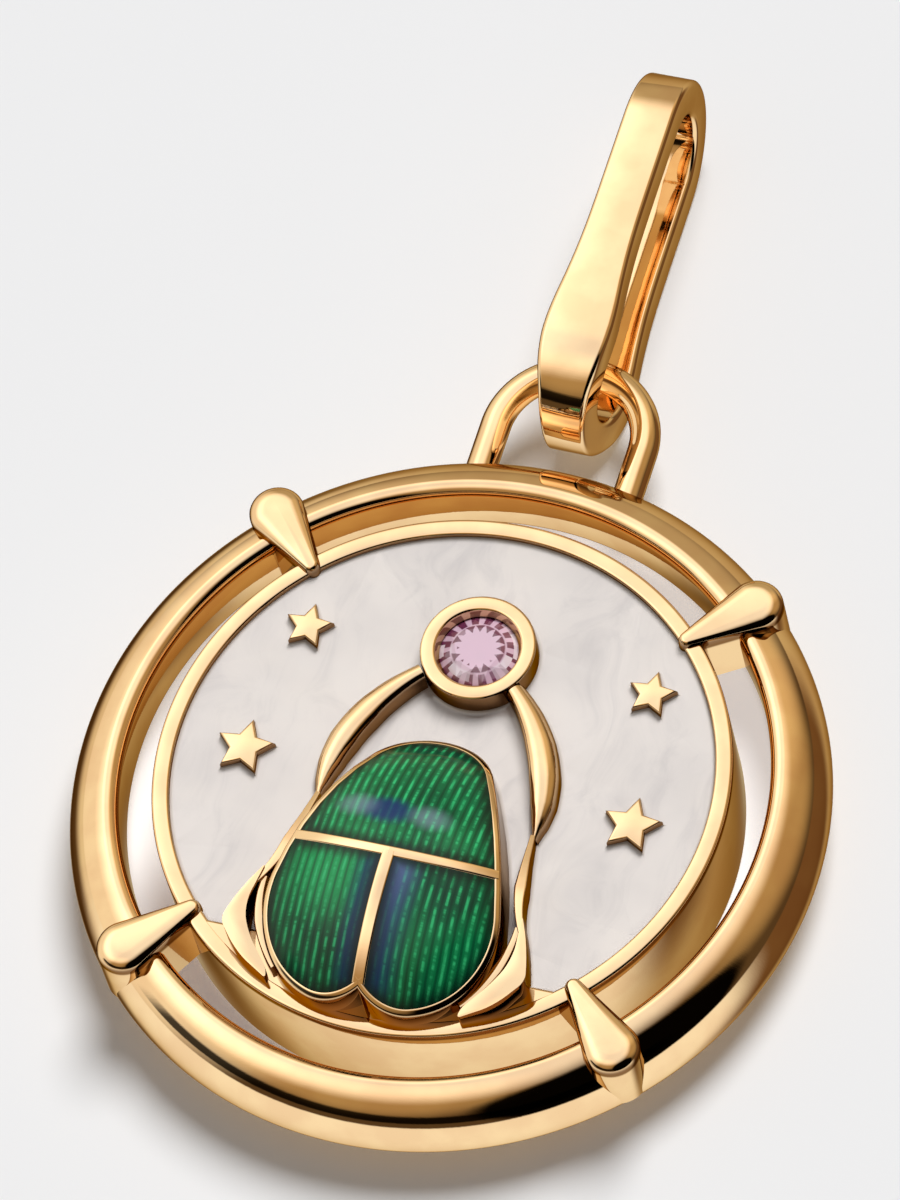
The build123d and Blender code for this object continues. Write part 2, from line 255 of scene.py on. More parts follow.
class Sweep:
    """A section drawn upright across a heading, then swept along straights and arcs that lie flat.

    A section's corner is (across, up, rounding), with across to the left of the heading.
    """

    def __init__(self, at, heading, corners=(), wire=0.0):
        self.mesh = bmesh.new()
        self.at, self.heading = Vector(at).to_3d(), heading
        if wire:
            upright = Matrix.Rotation(math.pi / 2, 4, "X")
            turn = Matrix.Rotation(heading + math.pi / 2, 4, "Z")
            place = Matrix.Translation(self.at) @ turn @ upright
            bmesh.ops.create_circle(self.mesh, segments=20, radius=wire / 2, matrix=place)
        else:
            self.draw(corners)
        self.loop = self.mesh.verts[:] + self.mesh.edges[:]

    def draw(self, corners):
        """Draws the section from its corners and rounds them."""
        verts = [self.mesh.verts.new(self.at + self.left() * c[0] + UP * c[1]) for c in corners]
        for k in range(0 if len(verts) > 2 else 1, len(verts)):
            self.mesh.edges.new((verts[k - 1], verts[k]))
        round_corners(self.mesh, verts, corners)

    def ahead(self):
        """Unit vector along the heading."""
        return Vector((math.cos(self.heading), math.sin(self.heading), 0))

    def left(self):
        """Unit vector to the left of the heading."""
        return Vector((-math.sin(self.heading), math.cos(self.heading), 0))

    def straight(self, distance):
        """Runs straight on."""
        edges = [g for g in self.loop if isinstance(g, bmesh.types.BMEdge)]
        verts = verts_of(bmesh.ops.extrude_edge_only(self.mesh, edges=edges)["geom"])
        new = set(verts)
        bmesh.ops.translate(self.mesh, verts=verts, vec=self.ahead() * distance)
        self.loop = verts + [e for e in self.mesh.edges if set(e.verts) <= new]
        self.at = self.at + self.ahead() * distance
        return self

    def arc(self, radius, turn, grow=1.0):
        """Turns about a centre that lies radius to the left, while the section grows."""
        centre = self.at + self.left() * radius
        steps = max(2, math.ceil(abs(turn) / BEND_STEP))
        for _ in range(steps):
            spun = bmesh.ops.spin(
                self.mesh, geom=self.loop, cent=centre, axis=UP, angle=turn / steps, steps=1,
                use_merge=False, use_duplicate=False, use_normal_flip=False,
            )
            self.loop = spun["geom_last"]
            self.heading += turn / steps
            self.at = centre + Matrix.Rotation(turn / steps, 3, "Z") @ (self.at - centre)
            if grow != 1.0:
                share = grow ** (1 / steps)
                bmesh.ops.scale(self.mesh, verts=verts_of(self.loop), vec=(share, share, 1),
                                space=Matrix.Translation(-self.at))
        return self

    def arc_to(self, end, grow=1.0):
        """Turns smoothly from the heading to a place."""
        chord = Vector(end).to_3d() - self.at
        chord.z = 0
        lean = (math.atan2(chord.y, chord.x) - self.heading + math.pi) % math.tau - math.pi
        return self.arc(chord.length / (2 * math.sin(lean)), 2 * lean, grow)

    def mirror(self):
        """Adds the mirror image and joins it along the middle."""
        for vert in self.mesh.verts:
            if abs(vert.co.x) < MERGE:
                vert.co.x = 0
        mirror(self.mesh, MERGE)
        return self

    def close(self):
        """Fills the open ends."""
        merge(self.mesh)
        bmesh.ops.holes_fill(self.mesh, edges=self.mesh.edges, sides=0)
        return self

    def into(self, target):
        """Moves the swept mesh into another one."""
        pour(self.mesh, target)


def pour(source, target):
    """Moves all of one mesh into another."""
    holder = bpy.data.meshes.new("holder")
    source.to_mesh(holder)
    source.free()
    target.from_mesh(holder)
    bpy.data.meshes.remove(holder)


def round_corners(mesh, verts, corners):
    """Rounds the vertices of a drawn line by the third value of their corners."""
    for vert, corner in zip(verts, corners):
        if corner[2]:
            bmesh.ops.bevel(mesh, geom=[vert], offset=corner[2], offset_type="OFFSET",
                            segments=ROUND_STEPS, profile=0.5, affect="VERTICES", material=-1)


def round_edges(mesh, edges, rounding, segments=ROUND_STEPS):
    """Rounds edges of a solid."""
    bmesh.ops.bevel(mesh, geom=list(edges), offset=rounding, offset_type="OFFSET",
                    segments=segments, profile=0.5, affect="EDGES", clamp_overlap=True, material=-1)


def turned(corners, axis_y=0.0, arc=None):
    """Turns an open profile of (radius, height, rounding) corners about an upright axis."""
    mesh = bmesh.new()
    verts = [mesh.verts.new((c[0], axis_y, c[1])) for c in corners]
    for pair in zip(verts, verts[1:]):
        mesh.edges.new(pair)
    if arc:
        start, centre, angle = arc
        drawn = mesh.verts.new((start[0], axis_y, start[1]))
        bmesh.ops.spin(mesh, geom=[drawn], cent=(centre[0], axis_y, centre[1]), axis=(0, 1, 0),
                       angle=angle, steps=28, use_merge=False)
    round_corners(mesh, verts, corners)
    merge(mesh)
    bmesh.ops.spin(mesh, geom=mesh.verts[:] + mesh.edges[:], cent=(0, axis_y, 0), axis=UP,
                   angle=math.tau, steps=round(math.tau / TURN_STEP), use_merge=True)
    return mesh


def thicken(mesh, height):
    """Extrudes all faces of a mesh up or down."""
    made = bmesh.ops.extrude_face_region(mesh, geom=mesh.faces[:])["geom"]
    bmesh.ops.translate(mesh, verts=verts_of(made), vec=(0, 0, height))


def raised(mesh, bottom, top):
    """Raises the flat faces of a mesh into a solid."""
    for vert in mesh.verts:
        vert.co.z = bottom
    thicken(mesh, top - bottom)
    bmesh.ops.recalc_face_normals(mesh, faces=mesh.faces)


def top_edges(mesh, top):
    """Edges round the flat top of a solid."""
    return [e for e in mesh.edges if all(abs(v.co.z - top) < MERGE for v in e.verts)
            and any(abs(f.normal.z) < 0.5 for f in e.link_faces)]


def pillow_bar(target, ends, bottom, top, soft, drop):
    """A bar with two round ends, (place, radius), and a top that is rounded like a pillow.

    Its rounding takes a share of each end's radius and drops by a height.
    """
    mesh = bmesh.new()
    levels = [(1, bottom)]
    for k in range(9):
        lean = k * math.pi / 16
        levels.append((1 - soft * (1 - math.cos(lean)), top - drop * (1 - math.sin(lean))))
    for centre, radius in ends:
        for share, level in levels:
            place = Matrix.Translation((centre.x, centre.y, level))
            bmesh.ops.create_circle(mesh, segments=48, radius=radius * share, matrix=place)
    hull(mesh)
    pour(mesh, target)


def hull(mesh):
    """Stretches a skin round drawn lines and drops what is left loose."""
    made = bmesh.ops.convex_hull(mesh, input=mesh.verts[:])
    bmesh.ops.delete(mesh, geom=verts_of(made["geom_interior"]), context="VERTS")
    loose = [e for e in mesh.edges if not e.link_faces]
    bmesh.ops.delete(mesh, geom=loose, context="EDGES")


def as_object(mesh, name):
    """Writes a mesh as an object in metres."""
    bmesh.ops.scale(mesh, verts=mesh.verts, vec=(MM, MM, MM))
    data = bpy.data.meshes.new(name)
    mesh.to_mesh(data)
    mesh.free()
    made = bpy.data.objects.new(name, data)
    bpy.context.scene.collection.objects.link(made)
    return made


def piece(mesh, name, material, body, slot, *nodes, sharp=32, flat=False):
    """Writes a mesh as a finished piece, which rides on a body and stands for nodes."""
    merge(mesh)
    bmesh.ops.recalc_face_normals(mesh, faces=mesh.faces)
    made = as_object(mesh, name)
    made.data.materials.append(material)
    if flat:
        made.data.shade_flat()
    else:
        made.data.shade_smooth()
        made.data.set_sharp_from_angle(angle=math.radians(sharp))
        smooth = made.modifiers.new("even_normals", "WEIGHTED_NORMAL")
        smooth.keep_sharp = True
    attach(made, body)
    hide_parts(*nodes)


def gold_piece(mesh, name, body="medallion"):
    """A finished piece of polished gold."""
    piece(mesh, name, polished_gold(), body, "gold", body)


# Materials

class Wire:
    """One socket of a node tree, which adds Math nodes when it is used in a sum."""

    def __init__(self, recipe, socket):
        self.recipe, self.socket = recipe, socket

    def __add__(self, other):
        return self.recipe.math("ADD", self, other)

    def __sub__(self, other):
        return self.recipe.math("SUBTRACT", self, other)

    def __rsub__(self, other):
        return self.recipe.math("SUBTRACT", other, self)

    def __mul__(self, other):
        return self.recipe.math("MULTIPLY", self, other)

    def __truediv__(self, other):
        return self.recipe.math("DIVIDE", self, other)

    def __rtruediv__(self, other):
        return self.recipe.math("DIVIDE", other, self)

    __radd__ = __add__
    __rmul__ = __mul__


class Recipe:
    """The nodes of one material or world."""

    def __init__(self, owner):
        owner.use_nodes = True
        self.tree = owner.node_tree
        self.tree.nodes.clear()

    def node(self, kind, settings=None, sockets=None, out=0):
        """Adds a node, with its settings first and then its sockets' values or links."""
        made = self.tree.nodes.new("ShaderNode" + kind)
        for name, value in (settings or {}).items():
            setattr(made, name, value)
        for name, value in (sockets or {}).items():
            if isinstance(value, Wire):
                self.tree.links.new(value.socket, made.inputs[name])
            else:
                made.inputs[name].default_value = value
        return Wire(self, made.outputs[out]) if made.outputs else made

    def math(self, operation, *terms):
        """A Math node."""
        return self.node("Math", {"operation": operation}, dict(enumerate(terms)))

    def vector(self, operation, *terms, out=0):
        """A Vector Math node."""
        return self.node("VectorMath", {"operation": operation}, dict(enumerate(terms)), out)

    def scaled(self, vector, factor):
        """A vector or a light made longer."""
        return self.node("VectorMath", {"operation": "SCALE"}, {0: vector, "Scale": factor})

    def parts(self, vector):
        """The X, Y and Z of a vector."""
        split = self.node("SeparateXYZ", None, {0: vector}).socket.node
        return [Wire(self, part) for part in split.outputs]

    def mix(self, share, first, second):
        """A Mix node for two colours."""
        first, second = (c if isinstance(c, Wire) else (*c, 1) for c in (first, second))
        settings = {"data_type": "RGBA", "blend_type": "MIX", "clamp_factor": True}
        return self.node("Mix", settings, {0: share, 6: first, 7: second}, 2)

    def ramp(self, value, low, high, bottom=0.0, top=1.0):
        """A value carried softly from one range to another and held at its ends."""
        how = {"interpolation_type": "SMOOTHSTEP"}
        return self.node("MapRange", how, {0: value, 1: low, 2: high, 3: bottom, 4: top})

    def fall(self, value, low, high, top=1.0):
        """Falls from the top to nothing as a value rises from low to high."""
        return self.ramp(value, low, high, top, 0.0)

    def noise(self, place, scale, detail=2.0, roughness=0.5, distortion=0.0, out=0):
        """A Noise Texture node."""
        sockets = {"Vector": place, "Scale": scale, "Detail": detail, "Roughness": roughness,
                   "Distortion": distortion}
        return self.node("TexNoise", None, sockets, out)

    def place(self, scale=(1, 1, 1), turn=0.0, centre=(0, 0, 0)):
        """Object coordinates in millimetres, centred, turned about Z and stretched."""
        sockets = {"Vector": self.scaled(self.node("TexCoord", out=3), 1 / MM),
                   "Location": tuple(-c for c in centre)}
        here = self.node("Mapping", {"vector_type": "POINT"}, sockets)
        sockets = {"Vector": here, "Rotation": (0, 0, turn), "Scale": scale}
        return self.node("Mapping", {"vector_type": "POINT"}, sockets)

    def out_from(self, x, y, stretch=1.0, turn=0.0):
        """Distance from an upright axis, longer along Y by a stretch."""
        return self.vector("LENGTH", self.place((1, stretch, 0), turn, (x, y, 0)), out=1)

    def bump(self, height, strength, distance, under=None):
        """A Bump node, over another one if it is given; distance is in millimetres."""
        sockets = {"Height": height, "Strength": strength, "Distance": distance * MM}
        if under:
            sockets["Normal"] = under
        return self.node("Bump", None, sockets)

    def paint_shade_near_walls(self, base, width, share, tint):
        """Paints shade on an enamel within a width of its walls, darkening it towards a shade tint.
        """
        distance = self.node("Attribute", {"attribute_name": WALLS}, out=2)
        return self.mix(self.fall(distance, 0.0, width, share), base, tint)

    def shade(self, **sockets):
        """Ends the recipe in a Principled shader."""
        named = {name.replace("_", " "): value for name, value in sockets.items()}
        self.node("OutputMaterial", None, {"Surface": self.node("BsdfPrincipled", None, named)})


def finish(recipe):
    """Makes a recipe's material once, under the recipe's own name, and then shares it."""
    def shared():
        made = bpy.data.materials.get(recipe.__name__)
        if not made:
            made = bpy.data.materials.new(recipe.__name__)
            recipe(Recipe(made), bpy.context.scene.charm_colours)
        return made
    return shared


@finish
def polished_gold(r, tones):
    """Warm polished gold with faint polishing marks, darkened by painted shade and dark reflection
    on its upright walls inside the ring.
    """
    cloud = r.noise(r.place(), 0.9, 3.0)
    marks = r.noise(r.place((1.0, 14.0, 4.0), 0.6), 2.2, 4.0, 0.6)
    fine = r.noise(r.place(), 9.0, 3.0, 0.6)
    paler = tuple(min(1, c * 1.04 + 0.01) for c in tones.gold)
    deeper = tuple(c * 0.93 for c in tones.gold)
    base = r.mix(r.ramp(cloud, 0.35, 0.65), deeper, paler)
    roughness = 0.02 + r.ramp(marks, 0.4, 0.75) * 0.02 + fine * 0.015
    _, along, level = r.parts(r.place())
    upright = r.parts(r.node("TexCoord", out=1))[2]
    low, crest = 2.12, 2.2
    before_eye, eye = 7.9, 8.1
    # Painted shade and dark reflection: upright walls from 2.12 mm up, away from the eye, are
    # darkened towards a dark brown.
    walls = r.fall(r.math("ABSOLUTE", upright), 0.2, 0.7) * r.ramp(level, low, crest)
    walls = walls * r.fall(along, before_eye, eye)
    painted_wall_shade = (0.15, 0.055, 0.016)
    base = r.mix(walls * 0.85, base, painted_wall_shade)
    relief = r.bump(marks, 0.12, 0.002, r.bump(cloud, 0.25, 0.01))
    r.shade(Base_Color=base, Metallic=1.0, Roughness=roughness,
            Specular_Tint=(0.42, 0.30, 0.18, 1), Normal=relief)


@finish
def pearl_enamel(r, tones):
    """Glossy white enamel with soft grey wisps, and painted shade along its walls."""
    bend = r.noise(r.place(), 0.28, 2.0, out=1)
    bend = r.vector("SUBTRACT", bend, (0.5, 0.5, 0.5))
    bend = r.vector("MULTIPLY", bend, (5.0, 5.0, 0.0))
    drift = r.vector("ADD", r.place((1.5, 0.42, 1.0), -0.35), bend)
    wisps = r.noise(drift, 0.8, 6.0, 0.62, 0.6)
    clouds = r.noise(r.place(), 0.45, 3.0)
    share = r.ramp(wisps, 0.42, 0.70) * 0.55 + r.ramp(clouds, 0.4, 0.7) * 0.35
    base = r.mix(share, tones.pearl, tones.pearl_shade)
    cream = (0.84, 0.77, 0.70)
    base = r.mix(r.ramp(r.noise(r.place(), 0.6, 2.0), 0.45, 0.75) * 0.25, base, cream)
    # Painted shade: the white enamel turns brownish within 0.1 mm of the gold that stands in it.
    base = r.paint_shade_near_walls(base, 0.10, 0.45, (0.42, 0.33, 0.26))
    ripple = r.bump(r.noise(r.place(), 1.6, 3.0), 0.2, 0.012)
    r.shade(Base_Color=base, Roughness=0.28 + wisps * 0.12, Coat_Weight=1.0,
            Coat_Roughness=0.03, Normal=ripple)


@finish
def emerald_enamel(r, tones):
    """Clear green enamel over fine cuts that run along the beetle, with painted whitish reflections
    on the pronotum and painted shade along its walls.
    """
    across, along, _ = r.parts(r.place())
    pitch, sway, beads_each = 0.185, 0.08, 3.4
    bend = r.noise(r.place((1, 0.25, 1)), 1.2, 2.0)
    column = (across + (bend - 0.5) * sway) / pitch
    number = r.math("FLOOR", column)
    aside = r.math("ABSOLUTE", r.math("FRACT", column) - 0.5)
    beads = r.node("CombineXYZ", None, {0: number * 5.3, 1: along * beads_each})
    beads = r.noise(beads, 1.0, 3.0, 0.7)
    fine = r.noise(r.place((9.0, 2.0, 1.0)), 1.0, 3.0, 0.6)
    line = r.fall(aside, 0.05, 0.24) * r.ramp(beads, 0.40, 0.56, 0.12, 1.0)
    line = line * r.ramp(fine, 0.30, 0.60, 0.25, 1.0)

    deepest, shadow, bright = (0.001, 0.06, 0.025), (0.0005, 0.02, 0.012), (0.006, 0.33, 0.09)
    cloud = r.noise(r.place(), 0.55, 2.0)
    deep = r.mix(r.ramp(cloud, 0.35, 0.65), deepest, tones.emerald)
    heart = r.vector("DISTANCE", r.place(), (-1.15, -3.3, 3.8), out=1)
    deep = r.mix(r.fall(heart, 0.2, 1.4, 0.85), deep, bright)
    deep = r.mix(r.ramp(aside, 0.28, 0.45) * 0.55, deep, shadow)
    base = r.mix(line, deep, tones.emerald_light)

    behind_bar = r.fall(along, -3.0, -2.4)
    right = r.ramp(across, -0.02, 0.02)
    left_side = r.ramp(across, -0.75, -0.15) * (1 - right)
    beside = r.fall(across, 0.2, 0.95) * right + left_side
    blue = r.mix(r.ramp(along, -4.6, -2.6), tones.navy, tones.lilac)
    blue = r.mix(right, tones.navy, blue)
    base = r.mix(beside * behind_bar * 0.85, base, blue)
    # Painted reflections: two soft whitish hazes on the pronotum, with a navy patch between them.
    painted_haze = (0.30, 0.42, 0.50)
    for tint, x, y, stretch, inner, outer, share in (
            (tones.navy, -0.35, -1.75, 1.8, 0.25, 0.75, 0.9),
            (painted_haze, -1.0, -1.7, 1.6, 0.1, 0.6, 0.35),
            (painted_haze, 0.55, -1.75, 1.6, 0.1, 0.6, 0.35)):
        base = r.mix(r.fall(r.out_from(x, y, stretch, 0.1), inner, outer, share), base, tint)
    # Painted shade: the green enamel darkens almost to black within 0.3 mm of its gold walls.
    base = r.paint_shade_near_walls(base, 0.30, 0.9, (0.0005, 0.010, 0.006))
    relief = r.bump(line * 0.7 + fine * 0.5, 0.3, 0.02)
    r.shade(Base_Color=base, Roughness=0.35, Specular_IOR_Level=0.1, Coat_Weight=0.4,
            Coat_Roughness=0.05, Normal=relief)


@finish
def cut_pink_stone(r, tones):
    """Clear pink stone, with painted dark reflections and painted sparkle on its facets."""
    out = r.out_from(0, GEM_Y) / GEM_HIGH.x
    x, y, _ = r.parts(r.place((1, 1, 0), 0.0, (0, GEM_Y, 0)))
    facets = r.math("ARCTAN2", y, x) / math.tau * 16
    spoke = r.math("ABSOLUTE", r.math("FRACT", facets) - 0.5) * 2
    facet = {0: r.math("FLOOR", facets) * 3.7, 1: r.math("FLOOR", out * 6) * 2.3}
    chance = r.noise(r.node("CombineXYZ", None, facet), 1.0)
    # Painted dark reflections: star points and rim facets, picked at random, turn a dark wine
    # colour.
    inner = r.ramp(out, 0.42, 0.46) * r.fall(out, 0.62, 0.66)
    points = inner * r.fall(spoke - (out - 0.42) * 4.5, -0.1, 0.1)
    rim = r.ramp(out, 0.66, 0.70) * r.ramp(spoke, 0.35, 0.5)
    dark = (points + rim) * r.ramp(chance, 0.40, 0.50)
    # Painted sparkle: random facets towards the edge of the crown turn almost white.
    painted_sparkle = r.ramp(out, 0.60, 0.68) * r.ramp(chance, 0.48, 0.42)
    painted_facet_shade, painted_glint = (0.16, 0.012, 0.07), (1.0, 0.90, 0.97)
    base = r.mix(r.math("MINIMUM", dark, 1.0) * 0.95, tones.stone, painted_facet_shade)
    base = r.mix(painted_sparkle * 0.75, base, painted_glint)
    r.shade(Base_Color=base, Roughness=0.0, IOR=2.0, Transmission_Weight=0.25)


@finish
def matt_floor(r, tones):
    """Pale matt floor with a little painted light of its own: a pool of it under the charm, less of
    it in front of the charm, and a faint glow elsewhere.
    """
    grain = r.noise(r.place(), 0.05, 3.0)
    base = r.mix(grain, tones.floor, tuple(c * 0.985 for c in tones.floor))
    # Painted light: the floor glows brightly under the charm, dimmer in front of it where its
    # shadow falls, and faintly elsewhere.
    in_front, behind = (0.10, 0.11, 0.14), (0.45, 0.455, 0.47)
    along = r.parts(r.place())[1]
    painted_glow = r.mix(r.ramp(along, -3.6, -1.6), in_front, behind)
    under, past = 6.5, 6.9
    painted_glow = r.mix(r.ramp(r.out_from(-0.3, 0.5), under, past), painted_glow, (0.05, 0.05, 0.05))
    r.shade(Base_Color=base, Roughness=0.9, Specular_IOR_Level=0.0, Emission_Color=painted_glow,
            Emission_Strength=1.0)


# Plans and solids of the beetle

def outline_sweep(s, corners):
    """Sweeps a section round the right half of the beetle, from its head to the tail's notch."""
    run = Sweep((0, s.head_y), 0.0, corners)
    for shares in OUTLINE.values():
        run.arc_to(on_beetle(s, shares))
    return run


def beetle_face(s, inset):
    """The beetle's outline as one flat face, set in from its edge."""
    run = outline_sweep(s, [(-inset, 0, 0)]).mirror()
    merge(run.mesh, inset + 1e-3)
    bmesh.ops.contextual_create(run.mesh, geom=run.mesh.edges[:])
    return run.mesh


def bow(s, x):
    """How far the bar has bowed towards the tail at a distance from the middle."""
    half = s.beetle_width / 2
    radius = (half**2 + s.bar_bulge**2) / (2 * s.bar_bulge)
    return math.sqrt(radius**2 - x**2) - (radius - s.bar_bulge)


def cut(mesh, place, normal, clear=False):
    """Cuts all faces by a plane, and may drop what lies in front of it."""
    bmesh.ops.bisect_plane(mesh, geom=all_of(mesh), dist=1e-5, plane_co=place,
                           plane_no=normal, clear_outer=clear)


def circle_centre(a, b, c):
    """Centre of the circle through three flat points."""
    d = 2 * (a.x * (b.y - c.y) + b.x * (c.y - a.y) + c.x * (a.y - b.y))
    squares = [p.length_squared for p in (a, b, c)]
    x = (squares[0] * (b.y - c.y) + squares[1] * (c.y - a.y) + squares[2] * (a.y - b.y)) / d
    y = (squares[0] * (c.x - b.x) + squares[1] * (a.x - c.x) + squares[2] * (b.x - a.x)) / d
    return Vector((x, y))


def foreleg_sweep(s, corners):
    """Sweeps a section along the right foreleg's arc, swelling and narrowing on the way."""
    shoulder, elbow, wrist = (on_beetle(s, row).to_2d() for row in FORELEG.values())
    centre = circle_centre(shoulder, elbow, wrist)
    start, end = shoulder - centre, wrist - centre
    turn = -start.angle_signed(end)
    run = Sweep(shoulder, math.atan2(start.y, start.x) + math.pi / 2, corners)
    for (a, first), (b, second) in zip(FORELEG_WIDTHS, FORELEG_WIDTHS[1:]):
        run.arc(start.length, turn * (b - a), second / first)
    return run


def low_leg(s, name, corners):
    """Sweeps a section along the right middle leg or spur."""
    heading, rows = LOW_LEGS[name]
    run = Sweep(on_beetle(s, rows[0]), math.radians(heading), corners)
    for row, after in zip(rows, rows[1:]):
        run.arc_to(on_beetle(s, after), after[2] / row[2])
    return run


def hind_leg_face(s, share=1.0):
    """The right hind leg's flat plan, made smaller about its middle."""
    mesh = bmesh.new()
    places = [on_beetle(s, row) for row in HIND_LEG]
    middle = sum(places, Vector()) / len(places)
    verts = [mesh.verts.new(middle.lerp(place, share)) for place in places]
    for k, vert in enumerate(verts):
        mesh.edges.new((verts[k - 1], vert))
    round_corners(mesh, verts, HIND_LEG)
    bmesh.ops.contextual_create(mesh, geom=mesh.edges[:])
    return mesh


def leg_heights(s, tops):
    """A leg's heights by how far they lie towards the tail, from heights at shares of length."""
    return [(share * s.beetle_length - s.head_y, top) for share, top in tops]


def eased(stops, share):
    """A value that runs smoothly through stops of (share, value)."""
    share = min(max(share, stops[0][0]), stops[-1][0])
    k = max(i for i, stop in enumerate(stops[:-1]) if share >= stop[0])
    slopes = []
    for i in (k, k + 1):
        before, after = stops[max(i - 1, 0)], stops[min(i + 1, len(stops) - 1)]
        slopes.append((after[1] - before[1]) / (after[0] - before[0]))
    (a, first), (b, second) = stops[k], stops[k + 1]
    t = (share - a) / (b - a)
    return (first * (1 + 2 * t) * (1 - t) ** 2 + second * t * t * (3 - 2 * t)
            + (b - a) * t * (1 - t) * (slopes[0] * (1 - t) - slopes[1] * t))


def star_face(s, row):
    """A flat five-pointed star with one point up."""
    across, up, size = row
    waist = 0.5
    star = bmesh.new()
    outer = size / 2 / math.cos(math.radians(18))
    bmesh.ops.create_circle(star, cap_ends=True, segments=10, radius=outer)
    for vert in list(star.verts)[1::2]:
        vert.co *= waist
    where = (across * s.disc_radius, up * s.disc_radius, 0)
    bmesh.ops.translate(star, verts=star.verts, vec=where)
    return star


def field_cutters(s):
    """Solids that stand in the right half of the white enamel, a little inside their gold."""
    inset = 0.004
    bezel = bmesh.new()
    bmesh.ops.create_circle(bezel, cap_ends=True, segments=96, radius=s.bezel_radius - inset,
                            matrix=Matrix.Translation((0, GEM_Y, 0)))
    half = FORELEG_WIDTHS[0][1] * 0.98
    plans = [beetle_face(s, inset), *(star_face(s, row) for row in STARS.values()),
             foreleg_sweep(s, [(-half, 0, 0), (half, 0, 0)]).mesh, hind_leg_face(s, 0.96)]
    for name, (_, rows) in LOW_LEGS.items():
        half = rows[0][2] * 0.97
        plans.append(low_leg(s, name, [(-half, 0, 0), (half, 0, 0)]).mesh)
    for plan in [*plans, bezel]:
        merge(plan)
        raised(plan, s.floor_top - 0.2, s.rim_top)
        yield plan


def cell_walls(s):
    """The beetle's gold: its outline wall down to the disc, the bar and the seam."""
    mesh = bmesh.new()
    soft, deep, below, overrun = 0.045, -0.45, -4.0, 0.16

    def rail(width):
        """Section of a wall between two cells."""
        half = width / 2
        return [(-half, deep, 0), (-half, 0, soft), (half, 0, soft), (half, deep, 0)]

    wall = outline_sweep(s, [
        (0, below, 0), (0, 0, soft), (-s.cell_wall, 0, soft), (-s.cell_wall, deep, 0),
    ])
    wall.straight(overrun).close().mirror().into(mesh)

    bar_middle = s.bar_y - s.bar_bulge
    bar = Sweep((0, bar_middle), 0.0, rail(s.bar_width))
    reach = 0.885 * s.beetle_width / 2
    bar.arc_to((reach, s.bar_y - bow(s, reach)))
    bar.close().mirror().into(mesh)

    seam = Sweep((0, bar_middle), -math.pi / 2, rail(s.seam_width))
    notch = on_beetle(s, OUTLINE["notch"])
    steps = 24
    for _ in range(steps):
        seam.straight((bar_middle - notch.y - s.cell_wall / 2) / steps)
    seam.close().into(mesh)
    for vert in mesh.verts:
        vert.co.z = max(vert.co.z + dome(s, vert.co), s.floor_top - SUNK)
    return mesh


def edge_points(edges):
    """Places along edges, close together."""
    step = 0.02
    places = []
    for edge in edges:
        a, b = (v.co for v in edge.verts)
        count = max(1, math.ceil((b - a).length / step))
        places += [a.lerp(b, k / count) for k in range(count + 1)]
    return places


def climb(mesh, places, offset, rise, reach):
    """Lifts a surface where it nears its walls, and notes how far each vertex is from them."""
    layer = mesh.verts.layers.float[WALLS]
    tree = KDTree(len(places))
    for k, place in enumerate(places):
        tree.insert(Vector((place.x, place.y, 0)), k)
    tree.balance()
    for vert in mesh.verts:
        near = max(tree.find(Vector((vert.co.x, vert.co.y, 0)))[2] - offset, 0)
        vert[layer] = near
        vert.co.z += rise * math.exp(-near / reach)


def cell_plate(s, side):
    """The green enamel of the pronotum (side 0) or of one wing case."""
    tuck, pitch, thick = 0.06, 0.07, 0.3
    mesh = beetle_face(s, tuck)
    mesh.verts.layers.float.new(WALLS)
    for vert in mesh.verts:
        vert.co.y += bow(s, vert.co.x)
    half = s.bar_width / 2 - tuck
    if side:
        cut(mesh, (0, s.bar_y - half, 0), (0, 1, 0), clear=True)
        cut(mesh, (side * (s.seam_width / 2 - tuck), 0, 0), (-side, 0, 0), clear=True)
    else:
        cut(mesh, (0, s.bar_y + half, 0), (0, -1, 0), clear=True)
    for k in range(round(s.beetle_width / 2 / pitch) * 2):
        cut(mesh, ((k + 0.5) * pitch - s.beetle_width / 2, 0, 0), (1, 0, 0))
    for vert in mesh.verts:
        vert.co.y -= bow(s, vert.co.x)
    for k in range(round(s.beetle_length / pitch)):
        cut(mesh, (0, s.head_y - (k + 0.5) * pitch, 0), (0, 1, 0))
    border = edge_points([e for e in mesh.edges if e.is_boundary])
    for vert in mesh.verts:
        vert.co.z = dome(s, vert.co) - s.cell_drop
    climb(mesh, border, tuck, rise=s.cell_drop * 0.3, reach=0.06)
    thicken(mesh, -thick)
    return mesh


def trim(made, mesh):
    """Cuts an object by a solid that isn't kept."""
    cutter = as_object(mesh, "cutter")
    knife = made.modifiers.new("cut", "BOOLEAN")
    knife.operation, knife.object, knife.solver = "DIFFERENCE", cutter, "EXACT"
    shown = bpy.context.evaluated_depsgraph_get()
    data = bpy.data.meshes.new_from_object(made.evaluated_get(shown))
    made.modifiers.clear()
    made.data = data
    bpy.data.objects.remove(cutter)


# Operators

class PieceOperator:
    """What all of the charm's operators share."""

    bl_options = {"REGISTER", "UNDO"}

    def execute(self, context):
        self.build(context, charm_sizes(context))
        return {"FINISHED"}


class CHARM_OT_ring(PieceOperator, bpy.types.Operator):
    """Turn the open outer ring"""

    bl_idname = "charm.ring"
    bl_label = "Outer ring"

    def build(self, context, s):
        crest = s.ring_inner + s.ring_edge
        reach, drop = s.ring_radius - crest, s.ring_height - s.ring_belly
        radius = (reach**2 + drop**2) / (2 * reach)
        centre = (s.ring_radius - radius, s.ring_belly)
        mesh = turned([
            (s.ring_radius, s.ring_belly, 0), (s.ring_radius, s.ring_under, s.ring_corner),
            (s.ring_inner, s.ring_under, s.ring_corner),
            (s.ring_inner, s.ring_height, s.ring_edge), (crest, s.ring_height, 0),
        ], arc=((crest, s.ring_height), centre, math.atan2(drop, crest - centre[0])))
        gold_piece(mesh, "outer_ring")


